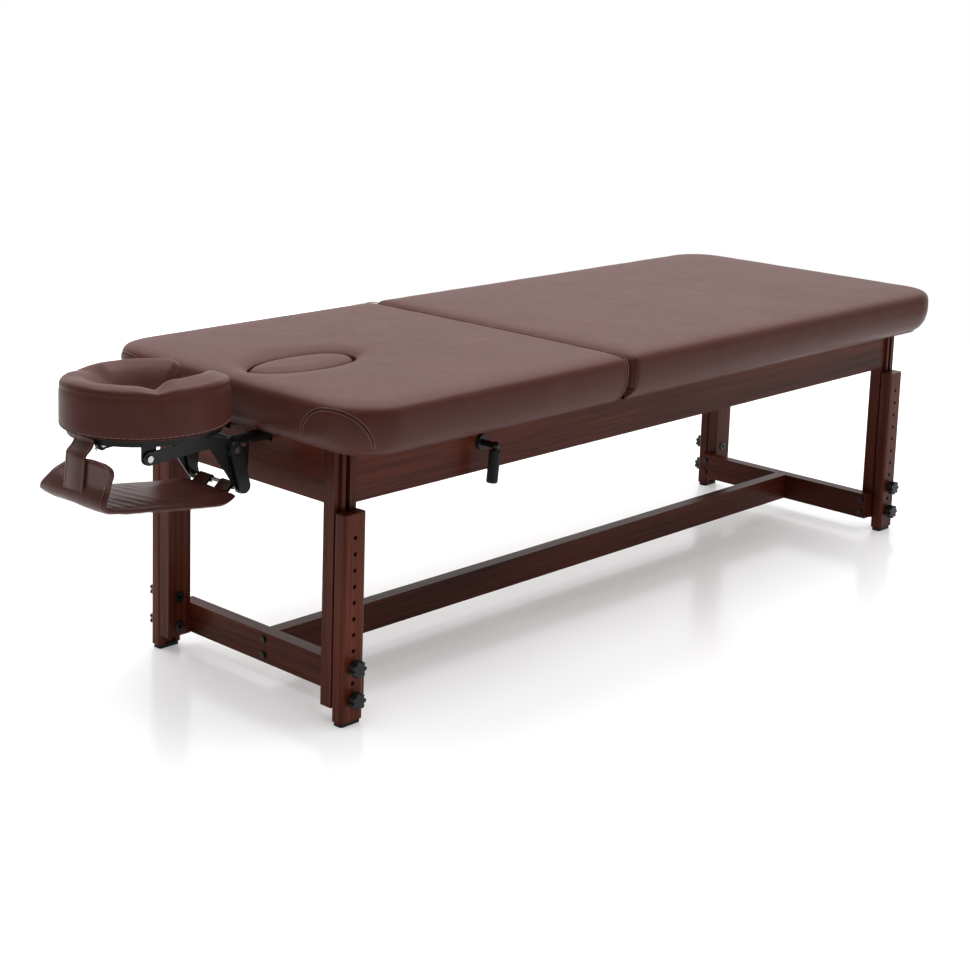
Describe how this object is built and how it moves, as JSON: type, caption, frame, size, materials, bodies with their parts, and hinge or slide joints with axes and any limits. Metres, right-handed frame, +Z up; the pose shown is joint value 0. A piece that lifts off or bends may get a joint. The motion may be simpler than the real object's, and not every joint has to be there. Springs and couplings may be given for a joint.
{
  "type": "massage table",
  "caption": "Stationary wooden massage table with a lifting head section, sliding height legs, a plug-in tilting face cradle and a hanging arm sling.",
  "frame": {"origin": "on the floor, below the middle of the whole table's box, cradle and sling included", "axes": "+X towards the foot end, +Y towards the left side of a person lying face down with the head at -X, +Z up; the release lever is at -Y"},
  "size_m": [2.2378, 0.74, 0.6275],
  "materials": {
    "wood_frame": "semi-gloss stained",
    "wood_leg": "semi-gloss stained",
    "wood_inner": "matt",
    "plywood": "matt",
    "leatherette": "semi-matt grained",
    "sling_cover": "semi-matt grained",
    "black_steel": "satin",
    "grey_steel": "satin",
    "bright_steel": "bright",
    "black_cylinder": "gloss",
    "black_plastic": "matt",
    "black_rubber": "matt"
  },
  "bodies": {
    "frame": {"post_head_right": "wood_frame", "post_head_left": "wood_frame", "post_foot_right": "wood_frame", "post_foot_left": "wood_frame", "crossbar_head": "wood_leg", "crossbar_foot": "wood_leg", "stretcher": "wood_leg", "side_rail_right": "wood_frame", "side_rail_left": "wood_frame", "apron_head": "wood_frame", "apron_foot": "wood_frame", "cross_rail": "wood_inner", "corner_blocks": "wood_inner", "frame_bolts": "black_steel", "leg_inserts": "black_steel", "foot_deck": "plywood", "foot_pad": "leatherette", "hinge_plates_fixed": "black_steel", "hinge_pins": "bright_steel", "strut_bracket_low": "black_steel", "lever_housing": "black_plastic", "release_cable": "black_rubber"},
    "leg_head_right": {"leg_head_right": "wood_leg", "cap_head_right": "black_rubber"},
    "knob_head_right_upper": {"knob_head_right_upper": "black_plastic"},
    "knob_head_right_lower": {"knob_head_right_lower": "black_plastic"},
    "leg_head_left": {"leg_head_left": "wood_leg", "cap_head_left": "black_rubber"},
    "knob_head_left_upper": {"knob_head_left_upper": "black_plastic"},
    "knob_head_left_lower": {"knob_head_left_lower": "black_plastic"},
    "leg_foot_right": {"leg_foot_right": "wood_leg", "cap_foot_right": "black_rubber"},
    "knob_foot_right_upper": {"knob_foot_right_upper": "black_plastic"},
    "knob_foot_right_lower": {"knob_foot_right_lower": "black_plastic"},
    "leg_foot_left": {"leg_foot_left": "wood_leg", "cap_foot_left": "black_rubber"},
    "knob_foot_left_upper": {"knob_foot_left_upper": "black_plastic"},
    "knob_foot_left_lower": {"knob_foot_left_lower": "black_plastic"},
    "head_section": {"head_deck": "plywood", "deck_battens": "wood_inner", "head_pad": "leatherette", "hinge_plates_moving": "black_steel", "strut_bracket_high": "black_steel", "cradle_sockets": "black_steel"},
    "face_plug": {"face_plug": "leatherette"},
    "gas_cylinder": {"gas_cylinder": "black_cylinder"},
    "gas_rod": {"gas_rod": "bright_steel"},
    "release_lever": {"release_lever": "black_steel", "lever_grip": "black_rubber"},
    "cradle_base": {"cradle_base": "black_steel", "cradle_bolts": "bright_steel"},
    "cam_lever": {"cam_lever": "grey_steel"},
    "cradle_arm": {"cradle_arm": "black_steel", "arm_sling": "sling_cover", "sling_loops": "sling_cover", "sling_strap": "sling_cover"},
    "cradle_platform": {"cradle_platform": "black_plastic", "tilt_screws": "bright_steel"},
    "cradle_cushion": {"cradle_cushion": "leatherette"}
  },
  "joints": [
    {"name": "leg_head_right_slide", "type": "slide", "parent": "frame", "child": "leg_head_right", "axis": [0, 0, -1], "range_m": [0, 0.24]},
    {"name": "knob_head_right_upper_turn", "type": "hinge", "parent": "leg_head_right", "child": "knob_head_right_upper", "pos_m": [-0.70407, -0.277, 0.11], "axis": [0, -1, 0], "continuous": true},
    {"name": "knob_head_right_lower_turn", "type": "hinge", "parent": "leg_head_right", "child": "knob_head_right_lower", "pos_m": [-0.70407, -0.277, 0.05], "axis": [0, -1, 0], "continuous": true},
    {"name": "leg_head_left_slide", "type": "slide", "parent": "frame", "child": "leg_head_left", "axis": [0, 0, -1], "range_m": [0, 0.24]},
    {"name": "knob_head_left_upper_turn", "type": "hinge", "parent": "leg_head_left", "child": "knob_head_left_upper", "pos_m": [-0.70407, 0.277, 0.11], "axis": [0, 1, 0], "continuous": true},
    {"name": "knob_head_left_lower_turn", "type": "hinge", "parent": "leg_head_left", "child": "knob_head_left_lower", "pos_m": [-0.70407, 0.277, 0.05], "axis": [0, 1, 0], "continuous": true},
    {"name": "leg_foot_right_slide", "type": "slide", "parent": "frame", "child": "leg_foot_right", "axis": [0, 0, -1], "range_m": [0, 0.24]},
    {"name": "knob_foot_right_upper_turn", "type": "hinge", "parent": "leg_foot_right", "child": "knob_foot_right_upper", "pos_m": [1.08593, -0.277, 0.11], "axis": [0, -1, 0], "continuous": true},
    {"name": "knob_foot_right_lower_turn", "type": "hinge", "parent": "leg_foot_right", "child": "knob_foot_right_lower", "pos_m": [1.08593, -0.277, 0.05], "axis": [0, -1, 0], "continuous": true},
    {"name": "leg_foot_left_slide", "type": "slide", "parent": "frame", "child": "leg_foot_left", "axis": [0, 0, -1], "range_m": [0, 0.24]},
    {"name": "knob_foot_left_upper_turn", "type": "hinge", "parent": "leg_foot_left", "child": "knob_foot_left_upper", "pos_m": [1.08593, 0.277, 0.11], "axis": [0, 1, 0], "continuous": true},
    {"name": "knob_foot_left_lower_turn", "type": "hinge", "parent": "leg_foot_left", "child": "knob_foot_left_lower", "pos_m": [1.08593, 0.277, 0.05], "axis": [0, 1, 0], "continuous": true},
    {"name": "head_lift", "type": "hinge", "parent": "frame", "child": "head_section", "pos_m": [-0.06107, 0, 0.5966], "axis": [0, 1, 0], "range_deg": [0, 70]},
    {"name": "gas_rod_turn", "type": "hinge", "parent": "frame", "child": "gas_rod", "pos_m": [-0.04972, 0, 0.3799], "axis": [0, 1, 0], "range_deg": [0, 35]},
    {"name": "gas_cylinder_turn", "type": "hinge", "parent": "head_section", "child": "gas_cylinder", "pos_m": [-0.25086, 0, 0.4914], "axis": [0, 1, 0], "range_deg": [-35, 0]},
    {"name": "face_plug_lift", "type": "slide", "parent": "head_section", "child": "face_plug", "axis": [0, 0, 1], "range_m": [0, 0.15]},
    {"name": "release_lever_pull", "type": "hinge", "parent": "frame", "child": "release_lever", "pos_m": [-0.35507, -0.26, 0.46], "axis": [0, 1, 0], "range_deg": [0, 30], "stiffness_Nm_per_rad": 1, "springref_deg": -11.46},
    {"name": "cradle_slide", "type": "slide", "parent": "head_section", "child": "cradle_base", "axis": [-1, 0, 0], "range_m": [0, 0.14]},
    {"name": "cam_lever_turn", "type": "hinge", "parent": "cradle_base", "child": "cam_lever", "pos_m": [-0.81507, -0.077, 0.489], "axis": [0, 1, 0], "range_deg": [-70, 0]},
    {"name": "cradle_swing", "type": "hinge", "parent": "cradle_base", "child": "cradle_arm", "pos_m": [-0.79307, 0, 0.412], "axis": [0, 1, 0], "range_deg": [-20, 0]},
    {"name": "cradle_tilt", "type": "hinge", "parent": "cradle_arm", "child": "cradle_platform", "pos_m": [-0.99907, 0, 0.502], "axis": [0, 1, 0], "range_deg": [-10, 0], "deforming": ["sling_strap"]},
    {"name": "cushion_lift", "type": "slide", "parent": "cradle_platform", "child": "cradle_cushion", "axis": [0, 0, 1], "range_m": [0, 0.1]}
  ],
  "couplings": [
    {"joint": "gas_rod_turn", "follows": "head_lift", "ratio": 0.5},
    {"joint": "gas_cylinder_turn", "follows": "head_lift", "ratio": -0.5}
  ]
}
